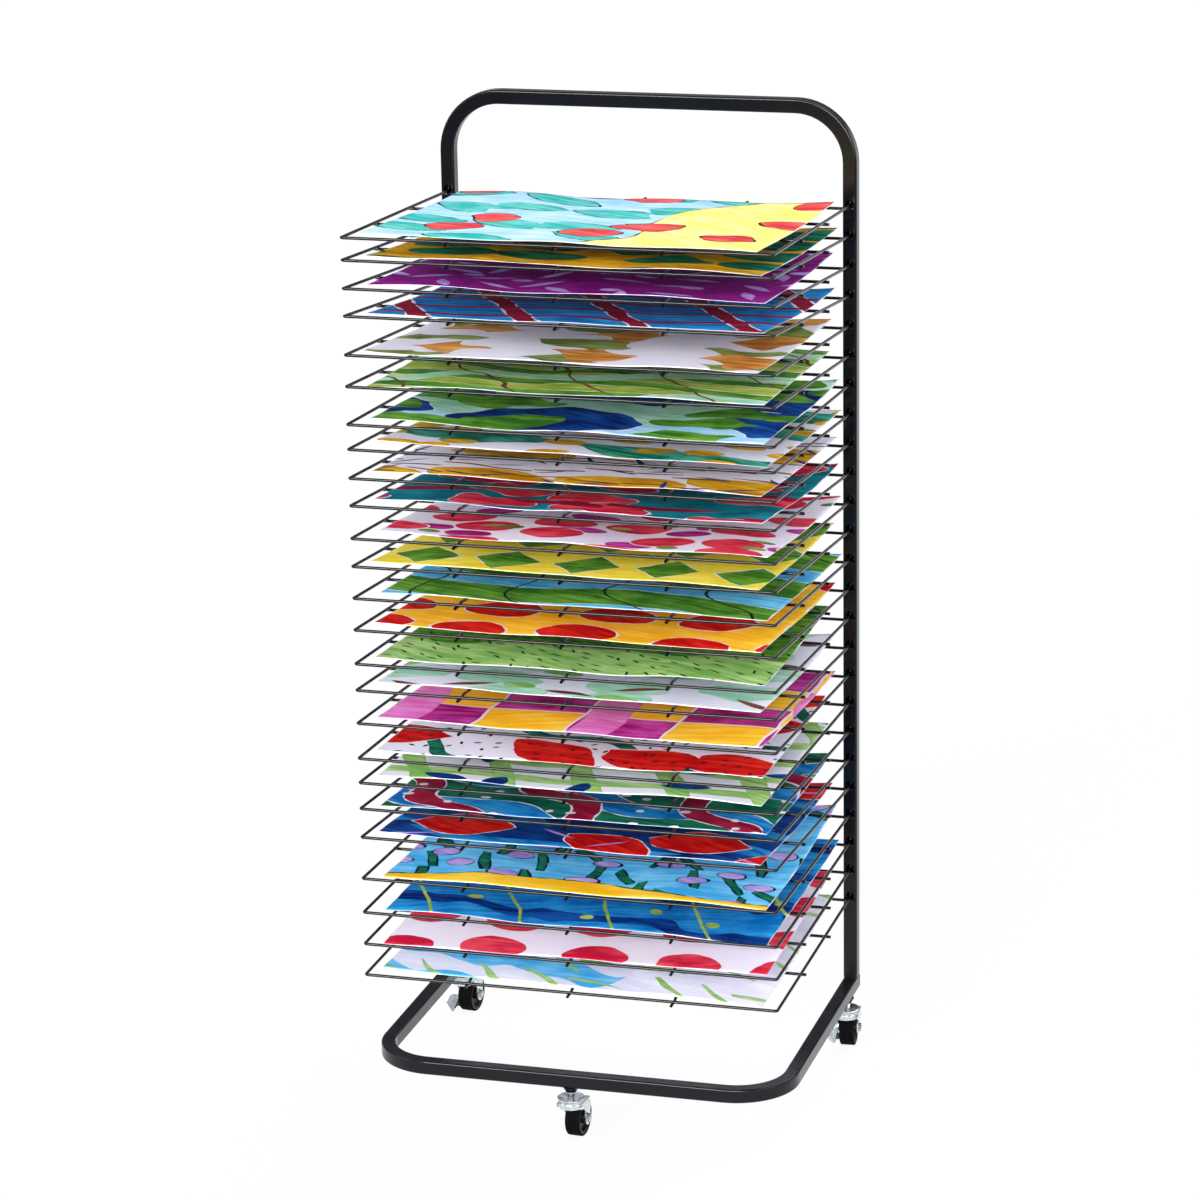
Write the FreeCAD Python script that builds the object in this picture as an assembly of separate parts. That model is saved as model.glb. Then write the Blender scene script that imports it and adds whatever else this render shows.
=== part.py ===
import FreeCAD, Part
import math
import os

# Art drying rack: a bent square-tube hoop stands on a U-shaped tube base with
# three swivel casters, and twenty-five wire shelves hook into its uprights.
# Millimetres. +Z is up, +X is the rack's right as seen from the front, and the
# shelves reach forward along -Y. The origin is on the floor, under the middle
# of the rack.

os.makedirs("parts", exist_ok=True)
V = FreeCAD.Vector

# ---------------------------------------------------------------- dimensions
# Square tube of the hoop and the base
TUBE = 15.0                 # outside width
WALL = 1.2                  # wall thickness
TUBE_CORNER = 2.0           # outside corner radius of the section
FRAME_WIDTH = 450.0         # over the outer faces of the uprights
HOOP_HEIGHT = 960.0         # from the base's top face to the hoop's top face
HOOP_BEND = 58.0            # bend radius on the tube's centreline
BASE_BEND = 58.5
BASE_FRONT = 334.0          # uprights' front face to the base's front face
BASE_TOP = 76.5             # floor to the base's top face
FACE_Y = 162.0              # uprights' front face

# Wire shelves
SHELF_COUNT = 25
SHELF_PITCH = 31.57
TOP_SHELF = 850.9           # top shelf's side wires above the base's top face
SHELF_DEPTH = 340.0         # uprights' front face to the outside of the front wire
WIRE = 3.2
WELD_SINK = 0.4             # how far crossing wires sink into each other
FRONT_BEND = 3.2            # centreline radius of the two front corners
SIDE_SPLAY = 1.4            # side wires stand further out at the front by this
PEG_BEND = 3.0              # centreline radius of the bend inside the tube
PEG_DEPTH = 3.3             # peg's axis behind the uprights' front face
PEG_TOP = 8.0               # peg's end above the side wire's axis
HOLE_RADIUS = 4.15          # punched hole in the upright's front wall
REST_GAP = 0.05             # wire's underside above the hole's lower edge
REAR_CROSS_WIRE = 2.6       # rear cross wire's axis in front of the uprights
CROSS_WIRE_SPACING = 112.0
CROSS_WIRE_OVERHANG = 3.5   # cross wires stand out past the side wires
LONG_WIRE_SPACING = 109.5
LONG_WIRE_OVERHANG = 3.0    # front-to-back wires stand out past the front wire
# Upward slope in degrees at which each shelf rests in its two holes, top first.
# The punched holes and hand-bent hooks leave every shelf a little different.
SHELF_SLOPE = [2.8, 4.3, 4.8, 5.4, 4.1, 4.0, 2.8, 3.8, 4.1, 4.6, 4.2, 4.6, 4.3,
               4.0, 3.3, 3.9, 3.3, 2.3, 3.2, 3.8, 3.9, 1.7, 0.8, 0.3, -0.1]

# Sheets of paper drying on the top shelves: the middle's place across, the front
# edge's distance from the line that the shelf tips about, and the turn in degrees
SHEET_WIDTH = 406.0
SHEET_LENGTH = 305.0
PAPER = 0.3                 # thickness
PAPER_GAP = 0.01            # sheet's underside above the wires' tops
SHEET_PLACES = [(-1, 331, 1.2), (2, 327, 1.2), (3, 322, -0.5), (4, 331, 0.2),
                (-2, 335, 0.9), (4, 334, -1.0), (5, 333, 1.0), (2, 313, 1.2),
                (-3, 314, 1.2)]

# Swivel casters, measured down from the base's top face
STEM_RADIUS = 4.0
STEM_CLEARANCE = 0.05
BOSS_HEIGHT = 5.8
RACE_TOP = 26.7             # rim of the stem's dished race
RACE_RADIUS = 14.3
CROWN_TOP = 31.0
CROWN_RADIUS = 13.8
CROWN_REAR = 18.5           # crown's rear edge behind the stem's axis
CROWN_SHEET = 1.5
SKIRT_DEPTH = 5.9
KINGPIN_RADIUS = 3.2
PIN_FIT = 0.06              # running clearance on the radius
FORK_INSIDE = 9.8           # half the gap between the legs at the axle
FORK_SHEET = 1.4
CASTER_TRAIL = 19.3         # stem axis to wheel axle
WHEEL_RADIUS = 20.0
AXLE_DROP = BASE_TOP - WHEEL_RADIUS
AXLE_RADIUS = 2.5
NUT_HEIGHT = 2.2
TYRE_HALF_WIDTH = 8.0
TYRE_INSIDE = 16.8
HUB_HALF_WIDTH = 9.5
LEG_END_RADIUS = 7.4
LEG_JOGGLE = [6.0, 15.5]    # above the axle, where each leg starts and ends leaning out
PEDAL_LENGTH = 29.0
PEDAL_OUTSIDE = 22.5        # pedal's outer edge from the wheel's middle
PEDAL_UP = 20.0             # released pedal points this far below level
PEDAL_DOWN = 33.0           # and this far when it is trodden down
REAR_CASTER_SETBACK = 19.0  # rear stems in front of the uprights' front face

BAR_X = FRAME_WIDTH / 2 - TUBE / 2
BAR_FRONT_Y = FACE_Y - BASE_FRONT + TUBE / 2
BASE_UNDER = BASE_TOP - TUBE
# name, stem position, heading of the trailing wheel turned from straight back,
# and the pedal's angle below level, if that caster has a brake
CASTERS = [
    ("front", -3.0, BAR_FRONT_Y, -4.0, None),
    ("rear_left", -BAR_X, FACE_Y - REAR_CASTER_SETBACK, -6.0, PEDAL_DOWN),
    ("rear_right", BAR_X, FACE_Y - REAR_CASTER_SETBACK, 4.0, PEDAL_UP),
]


def save(name, shape):
    """Write one node as a step file, a single solid or a group of solids."""
    solids = shape.Solids
    body = solids[0] if len(solids) == 1 else Part.makeCompound(solids)
    body.exportStep("parts/%s.step" % name)


# ------------------------------------------------------------- shape helpers
def rounded_square(side, corner, centre, across, along):
    """Closed outline of a square with rounded corners, facing along."""
    half = side / 2
    reach = half - corner
    diagonal = half - corner + corner * math.sqrt(0.5)
    edges = []
    for turn in range(4):
        quarter = FreeCAD.Rotation(V(0, 0, 1), 90 * turn)
        flat = [V(half, -reach, 0), V(half, reach, 0)]
        round_ = [V(half, reach, 0), V(diagonal, diagonal, 0), V(reach, half, 0)]
        flat = [quarter.multVec(p) for p in flat]
        round_ = [quarter.multVec(p) for p in round_]
        edges.append(Part.makeLine(*flat))
        edges.append(Part.Arc(*round_).toShape())
    wire = Part.Wire(edges)
    turn = FreeCAD.Rotation(across, along.cross(across), along, "ZXY")
    wire.Placement = FreeCAD.Placement(centre, turn)
    return wire


def tube_section(centre, across, along):
    """Face of the square tube's wall, cut square to the tube."""
    outer = rounded_square(TUBE, TUBE_CORNER, centre, across, along)
    inner = rounded_square(TUBE - 2 * WALL, TUBE_CORNER - WALL, centre, across, along)
    return Part.Face(outer).cut(Part.Face(inner)).Faces[0]


def bent_tube(corners, bend, across):
    """Square tube along a flat path whose corners are bent to one radius."""
    pieces = []
    start = corners[0]
    for i in range(1, len(corners)):
        along = (corners[i] - corners[i - 1]).normalize()
        last = i == len(corners) - 1
        end = corners[i] if last else corners[i] - along * bend
        section = tube_section(start, across, along)
        pieces.append(section.extrude(end - start))
        if last:
            break
        ahead = (corners[i + 1] - corners[i]).normalize()
        section = tube_section(end, across, along)
        pieces.append(section.revolve(end + ahead * bend, along.cross(ahead), 90))
        start = corners[i] + ahead * bend
    return pieces[0].fuse(pieces[1:]).removeSplitter()


def rounded_path(points, radii):
    """Wire path through the points, each inner corner bent to its own radius."""
    edges = []
    start = points[0]
    for i in range(1, len(points) - 1):
        back = (points[i - 1] - points[i]).normalize()
        ahead = (points[i + 1] - points[i]).normalize()
        half = back.getAngle(ahead) / 2
        cut = radii[i - 1] / math.tan(half)
        middle = (back + ahead).normalize()
        centre = points[i] + middle * (radii[i - 1] / math.sin(half))
        arc = [points[i] + back * cut, centre - middle * radii[i - 1],
               points[i] + ahead * cut]
        edges.append(Part.makeLine(start, arc[0]))
        edges.append(Part.Arc(*arc).toShape())
        start = arc[2]
    edges.append(Part.makeLine(start, points[-1]))
    return Part.Wire(edges)


def wire_along(points, radii):
    """Round wire drawn along a bent path."""
    path = rounded_path(points, radii)
    along = (points[1] - points[0]).normalize()
    ring = Part.Wire(Part.makeCircle(WIRE / 2, points[0], along))
    return path.makePipeShell([ring], True, True)


def turned(points, axis=V(0, 0, 1)):
    """Solid turned from a closed outline in the plane x, z about the z axis."""
    outline = Part.makePolygon([V(r, 0, z) for r, z in points + points[:1]])
    return Part.Face(outline).revolve(V(0, 0, 0), axis, 360)


def laid_along_x(shape, y, z):
    """Turn a shape made about the z axis to lie along +X at y, z."""
    shape = shape.copy()
    shape.rotate(V(0, 0, 0), V(0, 1, 0), 90)
    shape.translate(V(0, y, z))
    return shape


# ------------------------------------------------------------ hoop and base
def hoop_frame():
    """Hoop bent from one tube, its front walls punched for the shelf hooks."""
    y = FACE_Y + TUBE / 2
    top = BASE_TOP + HOOP_HEIGHT - TUBE / 2
    corners = [V(-BAR_X, y, BASE_TOP), V(-BAR_X, y, top),
               V(BAR_X, y, top), V(BAR_X, y, BASE_TOP)]
    tube = bent_tube(corners, HOOP_BEND, V(0, 1, 0))
    holes = []
    for i in range(SHELF_COUNT):
        z = shelf_height(i) - WIRE / 2 - REST_GAP + HOLE_RADIUS
        for x in (-BAR_X, BAR_X):
            holes.append(Part.makeCylinder(
                HOLE_RADIUS, 4 * WALL, V(x, FACE_Y - 2 * WALL, z), V(0, 1, 0)))
    return tube.cut(Part.makeCompound(holes))


def base_frame():
    """U-shaped base bar, open to the rear, drilled below for the caster stems."""
    z = BASE_TOP - TUBE / 2
    rear = FACE_Y + TUBE
    corners = [V(-BAR_X, rear, z), V(-BAR_X, BAR_FRONT_Y, z),
               V(BAR_X, BAR_FRONT_Y, z), V(BAR_X, rear, z)]
    bar = bent_tube(corners, BASE_BEND, V(0, 0, 1))
    holes = []
    for name, x, y, heading, pedal in CASTERS:
        holes.append(Part.makeCylinder(
            STEM_RADIUS + STEM_CLEARANCE, 3 * WALL, V(x, y, BASE_UNDER - WALL)))
    return bar.cut(Part.makeCompound(holes))


def tube_end_plugs():
    """Two pressed-in plugs that close the base bar's rear ends."""
    plugs = []
    for x in (-BAR_X, BAR_X):
        end = V(x, FACE_Y + TUBE, BASE_TOP - TUBE / 2)
        head = Part.Face(rounded_square(TUBE, TUBE_CORNER, end, V(0, 0, 1), V(0, 1, 0)))
        head = head.extrude(V(0, 2, 0))
        rim = [e for e in head.Edges if e.BoundBox.YMin > end.y + 1.9]
        head = head.makeFillet(0.8, rim)
        side = TUBE - 2 * WALL - 0.4
        tongue = Part.Face(rounded_square(side, 0.6, end, V(0, 0, 1), V(0, 1, 0)))
        tongue = tongue.extrude(V(0, -12, 0))
        plugs.append(head.fuse(tongue).removeSplitter())
    return Part.makeCompound(plugs)


def caster_bosses():
    """Three tapered threaded bosses welded below the base for the stems."""
    bosses = []
    for name, x, y, heading, pedal in CASTERS:
        bore = STEM_RADIUS + STEM_CLEARANCE
        boss = turned([(bore, 0), (8.4, 0), (8.4, -1.0), (5.4, -BOSS_HEIGHT),
                       (bore, -BOSS_HEIGHT)])
        boss.translate(V(x, y, BASE_UNDER))
        bosses.append(boss)
    return Part.makeCompound(bosses)


# ------------------------------------------------------------------ shelves
def shelf_height(i):
    """Height of a shelf's side wires where they enter the uprights."""
    return BASE_TOP + TOP_SHELF - i * SHELF_PITCH


def level_shelf():
    """One shelf lying level, its side wires at z 0 and the uprights' face at y 0.

    The outer wire is a U whose two rear ends turn up into pegs inside the
    uprights. Cross wires are welded below it, front-to-back wires lie on the
    cross wires and step down to pass below the front wire.
    """
    r = WIRE / 2
    below = -(WIRE - WELD_SINK)
    front = -(SHELF_DEPTH - r)
    corner = BAR_X + SIDE_SPLAY
    rim = wire_along(
        [V(-BAR_X, PEG_DEPTH, PEG_TOP), V(-BAR_X, PEG_DEPTH, 0), V(-corner, front, 0),
         V(corner, front, 0), V(BAR_X, PEG_DEPTH, 0), V(BAR_X, PEG_DEPTH, PEG_TOP)],
        [PEG_BEND, FRONT_BEND, FRONT_BEND, PEG_BEND])
    wires = []
    reach = BAR_X + r + CROSS_WIRE_OVERHANG
    for row in range(3):
        y = -(REAR_CROSS_WIRE + row * CROSS_WIRE_SPACING)
        wires.append(Part.makeCylinder(r, 2 * reach, V(-reach, y, below), V(1, 0, 0)))
    for column in (-1, 0, 1):
        x = column * LONG_WIRE_SPACING
        wires.append(wire_along(
            [V(x, -1.3, 0), V(x, front + 17, 0), V(x, front + 8, below),
             V(x, -SHELF_DEPTH - LONG_WIRE_OVERHANG, below)],
            [6.0, 6.0]))
    return rim.fuse(wires).removeSplitter()


def shelf_pivot(i):
    """Point on the line about which a shelf tips: the holes' lower inner edges."""
    return V(0, FACE_Y + WALL, shelf_height(i) - WIRE / 2 - REST_GAP)


def rested(level, i):
    """Set a level shelf, or a sheet laid on it, at the slope the shelf rests at."""
    shape = level.copy()
    shape.translate(V(0, FACE_Y, shelf_height(i)))
    shape.rotate(shelf_pivot(i), V(-1, 0, 0), SHELF_SLOPE[i])
    return shape


def level_sheet(across, front, askew):
    """Flat sheet of paper lying on a level shelf's upper wires."""
    sheet = Part.makeBox(SHEET_WIDTH, SHEET_LENGTH, PAPER, V(-SHEET_WIDTH / 2, 0, 0))
    sheet.rotate(V(0, 0, 0), V(0, 0, 1), -askew)
    sheet.translate(V(across, WALL - front, WIRE / 2 + PAPER_GAP))
    return sheet


# ------------------------------------------------------------------ casters
# Each caster is made with its stem on the z axis, z 0 at the base's top face
# and its wheel trailing towards +Y, then turned to its heading and set in place.
def caster_stem():
    """Stem with a tapered collar, dished upper race and riveted kingpin in one."""
    boss_end = -(TUBE + BOSS_HEIGHT)
    rim = -RACE_TOP
    rim_end = rim - 1.8
    floor = rim - 2.5
    pin = KINGPIN_RADIUS
    head = -(CROWN_TOP + CROWN_SHEET + 0.3)
    return turned([
        (0, -4.0), (3.3, -4.0), (STEM_RADIUS, -4.7), (STEM_RADIUS, boss_end),
        (4.9, boss_end), (4.9, boss_end - 0.8), (3.6, floor + 0.9), (4.4, floor),
        (7.4, floor), (RACE_RADIUS - 1.1, rim - 0.3), (RACE_RADIUS - 0.4, rim),
        (RACE_RADIUS, rim - 0.3), (RACE_RADIUS, rim_end + 0.3),
        (RACE_RADIUS - 0.4, rim_end), (RACE_RADIUS - 1.6, rim_end),
        (RACE_RADIUS - 1.6, rim_end + 0.6), (8.0, floor - 1.1), (pin, floor - 1.1),
        (pin, head), (5.4, head), (5.4, head - 0.6), (4.4, head - 1.4),
        (0, head - 1.9)])


def tangent_point(outside, centre, radius, side):
    """Point where a line from outside touches the circle, on the given side."""
    d = outside - centre
    swing = side * math.degrees(math.acos(radius / d.Length))
    turn = FreeCAD.Rotation(V(1, 0, 0), swing)
    return centre + turn.multVec(d.normalize()) * radius


def leg_profile():
    """Side view of a leg: it sweeps back from the crown to a round end."""
    axle = V(0, CASTER_TRAIL, -AXLE_DROP)
    top = -(CROWN_TOP + 2.6)
    rear_top = V(0, CROWN_REAR, top)
    rear_touch = tangent_point(rear_top, axle, LEG_END_RADIUS, -1)
    lowest = axle - V(0, 0, LEG_END_RADIUS)
    front_touch = axle - V(0, LEG_END_RADIUS, 0)
    skirt_end = V(0, -7.4, -(CROWN_TOP + SKIRT_DEPTH))
    hollow_back = V(0, 6.5, -(CROWN_TOP + 13.4))
    front_top = V(0, skirt_end.y, top)
    return Part.Face(Part.Wire([
        Part.makeLine(rear_top, front_top), Part.makeLine(front_top, skirt_end),
        Part.Arc(skirt_end, hollow_back, front_touch).toShape(),
        Part.Arc(front_touch, lowest, rear_touch).toShape(),
        Part.makeLine(rear_touch, rear_top)]))


def fork_leg():
    """Right leg of the fork, a sheet that leans out above the axle to the crown."""
    start, end = [z - AXLE_DROP for z in LEG_JOGGLE]
    top = -(CROWN_TOP + 1.5)
    low = -(AXLE_DROP + LEG_END_RADIUS + 1)
    upper_inside = CROWN_RADIUS - FORK_SHEET
    inner = [V(FORK_INSIDE, 0, low), V(FORK_INSIDE, 0, start),
             V(upper_inside, 0, end), V(upper_inside, 0, top)]
    outer = [p + V(FORK_SHEET, 0, 0) for p in reversed(inner)]
    strip = Part.Face(Part.makePolygon(inner + outer + inner[:1]))
    strip = strip.extrude(V(0, 60, 0))
    strip.translate(V(0, -20, 0))
    side = leg_profile().extrude(V(2 * CROWN_RADIUS, 0, 0))
    return strip.common(side)


def caster_fork():
    """Pressed fork: crown with a skirt and lower race, and two legs."""
    skirt = -(CROWN_TOP + SKIRT_DEPTH)
    crown = Part.makeCylinder(CROWN_RADIUS, SKIRT_DEPTH, V(0, 0, skirt))
    crown = crown.fuse(Part.makeBox(
        2 * CROWN_RADIUS, CROWN_REAR, SKIRT_DEPTH, V(-CROWN_RADIUS, 0, skirt)))
    crown = crown.removeSplitter()
    top_edges = [e for e in crown.Edges if e.BoundBox.ZMin > -CROWN_TOP - 0.01]
    crown = crown.makeFillet(1.3, top_edges)
    depth = SKIRT_DEPTH - CROWN_SHEET + 1
    inside = CROWN_RADIUS - FORK_SHEET
    hollow = Part.makeCylinder(inside, depth, V(0, 0, skirt - 1))
    hollow = hollow.fuse(Part.makeBox(2 * inside, 30, depth, V(-inside, 0, skirt - 1)))
    foot = -(CROWN_TOP + 0.3)
    race = turned([(9.5, foot), (13.0, foot), (13.0, foot + 1.5), (12.3, foot + 2.2),
                   (11.6, foot + 2.2), (9.5, foot + 0.7)])
    leg = fork_leg()
    fork = crown.cut(hollow).fuse([race, leg, leg.mirror(V(0, 0, 0), V(1, 0, 0))])
    pin_hole = Part.makeCylinder(KINGPIN_RADIUS + PIN_FIT, 12, V(0, 0, -CROWN_TOP - 7))
    bore = Part.makeCylinder(AXLE_RADIUS + 0.03, 40, V(0, 0, -20))
    bore = laid_along_x(bore, CASTER_TRAIL, -AXLE_DROP)
    return fork.cut([pin_hole, bore]).removeSplitter()


def wheel_core():
    """Moulded wheel core: hub, thin web and rim, turned about its axle."""
    bore = AXLE_RADIUS + PIN_FIT
    half = [(bore, HUB_HALF_WIDTH), (5.6, HUB_HALF_WIDTH), (6.2, HUB_HALF_WIDTH - 0.6),
            (6.6, 4.6), (TYRE_INSIDE - 2.6, 4.6), (TYRE_INSIDE - 2.0, 7.0),
            (TYRE_INSIDE, 7.4)]
    other = [(r, -z) for r, z in reversed(half)]
    return laid_along_x(turned(half + other), CASTER_TRAIL, -AXLE_DROP)


def tyre():
    """Solid tyre with rounded shoulders and three shallow tread grooves."""
    shoulder = []
    for step in range(7):
        a = math.radians(15 * step)
        shoulder.append((WHEEL_RADIUS - 1.8 + 1.8 * math.sin(a),
                         TYRE_HALF_WIDTH - 1.8 + 1.8 * math.cos(a)))
    tread = []
    for z in (3.4, 0.0, -3.4):
        tread += [(WHEEL_RADIUS, z + 0.5), (WHEEL_RADIUS - 0.35, z + 0.25),
                  (WHEEL_RADIUS - 0.35, z - 0.25), (WHEEL_RADIUS, z - 0.5)]
    other = [(r, -z) for r, z in reversed(shoulder)]
    outline = [(TYRE_INSIDE, TYRE_HALF_WIDTH)] + shoulder + tread + other
    outline.append((TYRE_INSIDE, -TYRE_HALF_WIDTH))
    return laid_along_x(turned(outline), CASTER_TRAIL, -AXLE_DROP)


def axle_bolt(head_inside):
    """Axle bolt, its low domed head on the left and its end in the nut."""
    r = AXLE_RADIUS
    end = FORK_INSIDE + FORK_SHEET + NUT_HEIGHT + 0.4
    bolt = turned([(0, end), (r - 0.5, end), (r, end - 0.5), (r, -head_inside),
                   (4.2, -head_inside), (4.2, -head_inside - 0.8),
                   (3.2, -head_inside - 1.5), (0, -head_inside - 1.8)])
    return laid_along_x(bolt, CASTER_TRAIL, -AXLE_DROP)


def axle_nut():
    """Hexagon nut on the axle's right end, its corners turned off."""
    start = FORK_INSIDE + FORK_SHEET
    corners = []
    for i in range(7):
        a = math.radians(60 * i + 30)
        corners.append(V(4.62 * math.cos(a), 4.62 * math.sin(a), start))
    end = start + NUT_HEIGHT
    nut = Part.Face(Part.makePolygon(corners)).extrude(V(0, 0, NUT_HEIGHT))
    blank = turned([(0, start), (4.7, start), (4.7, end - 0.5), (4.1, end), (0, end)])
    nut = nut.common(blank)
    nut = nut.cut(Part.makeCylinder(AXLE_RADIUS + 0.03, 10, V(0, 0, start - 1)))
    return laid_along_x(nut, CASTER_TRAIL, -AXLE_DROP)


def place_pedal_piece(shape, drop_angle):
    """Move a piece made along +X, +Y inwards and +Z up onto the left axle end."""
    shape = shape.copy()
    shape.rotate(V(0, 0, 0), V(0, 0, 1), -90)
    shape.rotate(V(0, 0, 0), V(1, 0, 0), drop_angle)
    shape.translate(V(0, CASTER_TRAIL, -AXLE_DROP))
    return shape


def brake_pedal(drop_angle):
    """Pressed brake lever: a cheek on the axle and a tread plate with a lip.

    Made pointing along +X from the axle, where y is the distance out to the
    left of the wheel's middle turned negative.
    """
    inside = FORK_INSIDE + FORK_SHEET + 0.15
    sheet = FORK_SHEET
    cheek = Part.makeCylinder(6.0, sheet, V(0, -inside, 0), V(0, -1, 0))
    arm = Part.makePolygon([V(0, -inside, 5.8), V(9, -inside, 2.0),
                            V(PEDAL_LENGTH, -inside, 2.0), V(PEDAL_LENGTH, -inside, 0.2),
                            V(20, -inside, -2.0), V(9, -inside, -4.4),
                            V(0, -inside, -5.8), V(0, -inside, 5.8)])
    arm = Part.Face(arm).extrude(V(0, -sheet, 0))
    tip = PEDAL_LENGTH
    outer = -PEDAL_OUTSIDE
    plan = [V(6.5, -inside, 0.6), V(tip, -inside, 0.6), V(tip, -inside - 2.5, 0.6),
            V(20.0, outer, 0.6), V(9.5, outer, 0.6), V(6.5, outer + 3.0, 0.6)]
    plate = Part.Face(Part.makePolygon(plan + plan[:1])).extrude(V(0, 0, sheet))
    edge = [plan[2], plan[3]]
    inward = V(-1, 1, 0).normalize() * sheet
    lip = [edge[0], edge[1], edge[1] + inward, edge[0] + inward]
    lip = Part.Face(Part.makePolygon(lip + lip[:1])).extrude(V(0, 0, 4.4))
    pedal = cheek.fuse([arm, plate, lip])
    hole = Part.makeCylinder(AXLE_RADIUS + PIN_FIT, 8, V(0, -inside + 2, 0), V(0, -1, 0))
    return place_pedal_piece(pedal.cut(hole).removeSplitter(), drop_angle)


def brake_pad(drop_angle):
    """Moulded pad on the lever's inner face that wedges against the tyre."""
    inside = FORK_INSIDE + FORK_SHEET + 0.15
    depth = inside - TYRE_HALF_WIDTH - 0.45
    pad = Part.makeBox(6.5, depth, 5.0, V(12.0, -inside, -3.6))
    pad = pad.makeFillet(1.0, [e for e in pad.Edges if e.Length < depth + 0.1
                               and abs(e.BoundBox.YLength - depth) < 0.01])
    return place_pedal_piece(pad, drop_angle)


def placed(shape, caster):
    """Turn a caster piece to the caster's heading and set it under the base."""
    name, x, y, heading, pedal = caster
    shape = shape.copy()
    shape.rotate(V(0, 0, 0), V(0, 0, 1), heading)
    shape.translate(V(x, y, BASE_TOP))
    return shape


# ----------------------------------------------------------------- assembly
save("hoop_frame", hoop_frame())
save("base_frame", base_frame())
save("tube_end_plugs", tube_end_plugs())
save("caster_bosses", caster_bosses())

LEVEL_SHELF = level_shelf()
for number in range(SHELF_COUNT):
    save("shelf_%02d" % (number + 1), rested(LEVEL_SHELF, number))
for number, place in enumerate(SHEET_PLACES):
    save("sheet_%02d" % (number + 1), rested(level_sheet(*place), number))

for CASTER in CASTERS:
    PREFIX = "caster_" + CASTER[0]
    HEAD_INSIDE = FORK_INSIDE + FORK_SHEET
    if CASTER[4] is not None:
        HEAD_INSIDE += FORK_SHEET + 0.3
    save(PREFIX + "_stem", placed(caster_stem(), CASTER))
    save(PREFIX + "_fork", placed(caster_fork(), CASTER))
    save(PREFIX + "_wheel_core", placed(wheel_core(), CASTER))
    save(PREFIX + "_tyre", placed(tyre(), CASTER))
    save(PREFIX + "_axle_bolt", placed(axle_bolt(HEAD_INSIDE), CASTER))
    save(PREFIX + "_axle_nut", placed(axle_nut(), CASTER))
    if CASTER[4] is not None:
        save(PREFIX + "_brake_pedal", placed(brake_pedal(CASTER[4]), CASTER))
        save(PREFIX + "_brake_pad", placed(brake_pad(CASTER[4]), CASTER))
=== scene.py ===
from math import cos, pi, radians, sin

import bpy
import numpy as np
from mathutils import Matrix, Vector


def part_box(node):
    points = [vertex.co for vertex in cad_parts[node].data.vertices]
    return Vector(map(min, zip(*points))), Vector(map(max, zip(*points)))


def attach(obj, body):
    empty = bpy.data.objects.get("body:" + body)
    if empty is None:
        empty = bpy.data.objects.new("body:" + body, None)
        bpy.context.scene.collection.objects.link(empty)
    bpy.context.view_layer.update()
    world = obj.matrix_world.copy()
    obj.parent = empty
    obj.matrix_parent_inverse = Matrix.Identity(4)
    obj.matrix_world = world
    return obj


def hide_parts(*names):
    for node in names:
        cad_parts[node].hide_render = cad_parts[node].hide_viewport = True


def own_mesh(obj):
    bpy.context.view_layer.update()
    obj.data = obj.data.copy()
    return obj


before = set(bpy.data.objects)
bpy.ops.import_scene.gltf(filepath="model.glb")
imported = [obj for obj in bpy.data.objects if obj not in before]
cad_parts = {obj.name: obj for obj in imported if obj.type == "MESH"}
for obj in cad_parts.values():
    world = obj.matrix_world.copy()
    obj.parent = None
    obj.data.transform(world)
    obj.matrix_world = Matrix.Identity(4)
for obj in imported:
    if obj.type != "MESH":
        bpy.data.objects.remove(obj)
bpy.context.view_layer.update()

# Art drying rack: a black bent-tube hoop on a tube base with three casters, and
# twenty-five wire shelves, each with one painted sheet of paper. Metres.

# ------------------------------------------------------------------ camera
# A long lens, to the rack's right and a little above its top bar.
base_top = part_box("base_frame")[1][2]
eye = Vector((1.1771, -4.0764, base_top + 1.6954))
turn, dip, roll = radians(16.244), radians(16.231), radians(-1.015)
ahead = Vector((-sin(turn) * cos(dip), cos(turn) * cos(dip), -sin(dip)))
level = Vector((cos(turn), sin(turn), 0))
plumb = level.cross(ahead)
frame_right = level * cos(roll) + plumb * sin(roll)
frame_up = plumb * cos(roll) - level * sin(roll)
lens = bpy.data.cameras.new("camera")
lens.lens, lens.sensor_width = 128.1, 36
camera = bpy.data.objects.new("camera", lens)
camera.matrix_world = Matrix((frame_right, frame_up, -ahead)).transposed().to_4x4()
camera.location = eye
bpy.context.scene.collection.objects.link(camera)
bpy.context.scene.camera = camera
bpy.context.scene.view_settings.view_transform = "Standard"


# --------------------------------------------------------- floor and light
# A white studio floor under a low white backdrop, dim walls and a brighter
# ceiling. Three broad lamps stand low and reach in between the shelves, a
# smaller key lamp draws a highlight along the wires, and one hangs behind.
class Number:
    """A number in a node tree. Signs between Numbers and plain numbers make
    Math nodes, and their results are Numbers."""

    def __init__(self, socket):
        """Takes over a number socket."""
        self.socket = socket

    def __add__(self, other):
        """This plus the other."""
        return calc("ADD", self, other)

    def __sub__(self, other):
        """This less the other."""
        return calc("SUBTRACT", self, other)

    def __rsub__(self, other):
        """The other less this."""
        return calc("SUBTRACT", other, self)

    def __mul__(self, other):
        """This times the other."""
        return calc("MULTIPLY", self, other)

    def __truediv__(self, other):
        """This over the other."""
        return calc("DIVIDE", self, other)

    def __rtruediv__(self, other):
        """The other over this."""
        return calc("DIVIDE", other, self)

    def __abs__(self):
        """This without its sign."""
        return calc("ABSOLUTE", self)

    def ramp(self, slope, start):
        """Start plus slope times this, kept within 0 and 1."""
        return calc("MULTIPLY_ADD", self, slope, start, clamp=True)


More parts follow.
